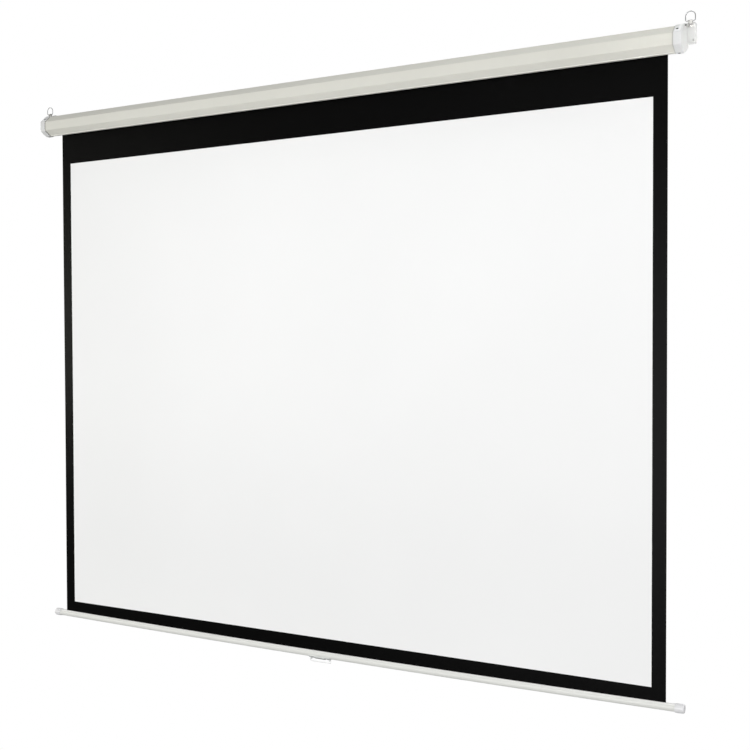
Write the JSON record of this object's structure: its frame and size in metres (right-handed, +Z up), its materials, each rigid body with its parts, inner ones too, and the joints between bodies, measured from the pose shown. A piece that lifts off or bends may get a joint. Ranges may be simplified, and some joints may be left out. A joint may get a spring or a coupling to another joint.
{
  "type": "motorised projection screen",
  "caption": "Wall-hung motorised projection screen: white picture fabric with black borders unrolls from an angular white casing and is weighted by a round bar with a pull handle.",
  "frame": {"origin": "on the wall plane, midway between the two wall ears, at the height of the roller axis", "axes": "+X along the casing to the viewer's right, +Y into the wall (the picture faces -Y), +Z up"},
  "size_m": [2.2478, 0.0763, 1.8029],
  "materials": {
    "casing_painted_steel": "fine satin powder coat",
    "cap_plastic": "moulded, semi-matt",
    "black_screw": "black oxide",
    "chrome_steel": "bright plated",
    "ring_wire": "bright plated wire",
    "zinc_steel": "zinc plated",
    "dark_plastic": "moulded",
    "yellow_plastic": "moulded",
    "grey_plastic": "moulded",
    "motor_shell": "drawn tube",
    "roller_aluminium": "extruded",
    "nylon": "natural",
    "picture_fabric": "matt white coated fabric, black border and back",
    "black_fabric": "matt black coated fabric",
    "bar_painted_steel": "satin white paint",
    "bar_cap_plastic": "moulded",
    "handle_plastic": "moulded",
    "handle_wire": "white coated wire"
  },
  "bodies": {
    "casing": {"casing_shell": "casing_painted_steel", "end_cap_left": "cap_plastic", "end_cap_right": "cap_plastic", "cap_screw_front_left": "black_screw", "cap_screw_bottom_left": "black_screw", "cap_screw_front_right": "black_screw", "cap_screw_bottom_right": "black_screw", "ring_clasp_left": "chrome_steel", "ring_clasp_right": "chrome_steel", "clasp_screw_left": "chrome_steel", "clasp_screw_right": "chrome_steel", "motor_bracket": "zinc_steel", "idler_bracket": "zinc_steel", "bracket_screw_upper_left": "zinc_steel", "bracket_screw_lower_left": "zinc_steel", "bracket_screw_upper_right": "zinc_steel", "bracket_screw_lower_right": "zinc_steel", "motor_head": "dark_plastic", "motor_tube": "motor_shell", "gearbox_housing": "zinc_steel", "power_gland": "dark_plastic", "idler_pin": "zinc_steel", "screen_fabric": "picture_fabric"},
    "roller": {"roller_tube": "roller_aluminium", "fabric_wraps": "black_fabric", "limit_crown": "grey_plastic", "output_shaft": "zinc_steel", "drive_wheel": "grey_plastic", "idler_plug": "grey_plastic", "idler_bearing": "nylon"},
    "bottom_bar": {"bar_tube": "bar_painted_steel", "hem_rod": "zinc_steel", "bar_cap_left": "bar_cap_plastic", "bar_cap_right": "bar_cap_plastic", "fabric_lower_border": "black_fabric", "handle_clip": "handle_plastic", "handle_screw_left": "zinc_steel", "handle_screw_right": "zinc_steel"},
    "handle_bail": {"handle_bail": "handle_wire"},
    "ring_left": {"hanging_ring_left": "ring_wire"},
    "ring_right": {"hanging_ring_right": "ring_wire"},
    "limit_up": {"limit_screw_up": "yellow_plastic"},
    "limit_down": {"limit_screw_down": "yellow_plastic"}
  },
  "joints": [
    {"name": "screen_travel", "type": "slide", "parent": "casing", "child": "bottom_bar", "axis": [0, 0, 1], "range_m": [0, 1.65], "deforming": ["screen_fabric"]},
    {"name": "roller_spin", "type": "hinge", "parent": "casing", "child": "roller", "pos_m": [0, -0.0408, 0], "axis": [1, 0, 0], "range_deg": [0, 4200]},
    {"name": "handle_swing", "type": "hinge", "parent": "bottom_bar", "child": "handle_bail", "pos_m": [0, -0.02, -1.7186], "axis": [1, 0, 0], "range_deg": [-95, 95]},
    {"name": "ring_left_swing", "type": "hinge", "parent": "casing", "child": "ring_left", "pos_m": [-1.1105, -0.0206, 0.0495], "axis": [1, 0, 0], "range_deg": [-50, 105]},
    {"name": "ring_right_swing", "type": "hinge", "parent": "casing", "child": "ring_right", "pos_m": [1.1105, -0.0206, 0.0495], "axis": [1, 0, 0], "range_deg": [-50, 105]},
    {"name": "limit_up_turn", "type": "hinge", "parent": "casing", "child": "limit_up", "pos_m": [-1.0925, -0.0488, 0.008], "axis": [1, 0, 0], "range_deg": [-720, 720]},
    {"name": "limit_down_turn", "type": "hinge", "parent": "casing", "child": "limit_down", "pos_m": [-1.0925, -0.0328, 0.008], "axis": [1, 0, 0], "range_deg": [-720, 720]}
  ],
  "couplings": [
    {"joint": "roller_spin", "follows": "screen_travel", "rad_per_m": 44.2}
  ]
}
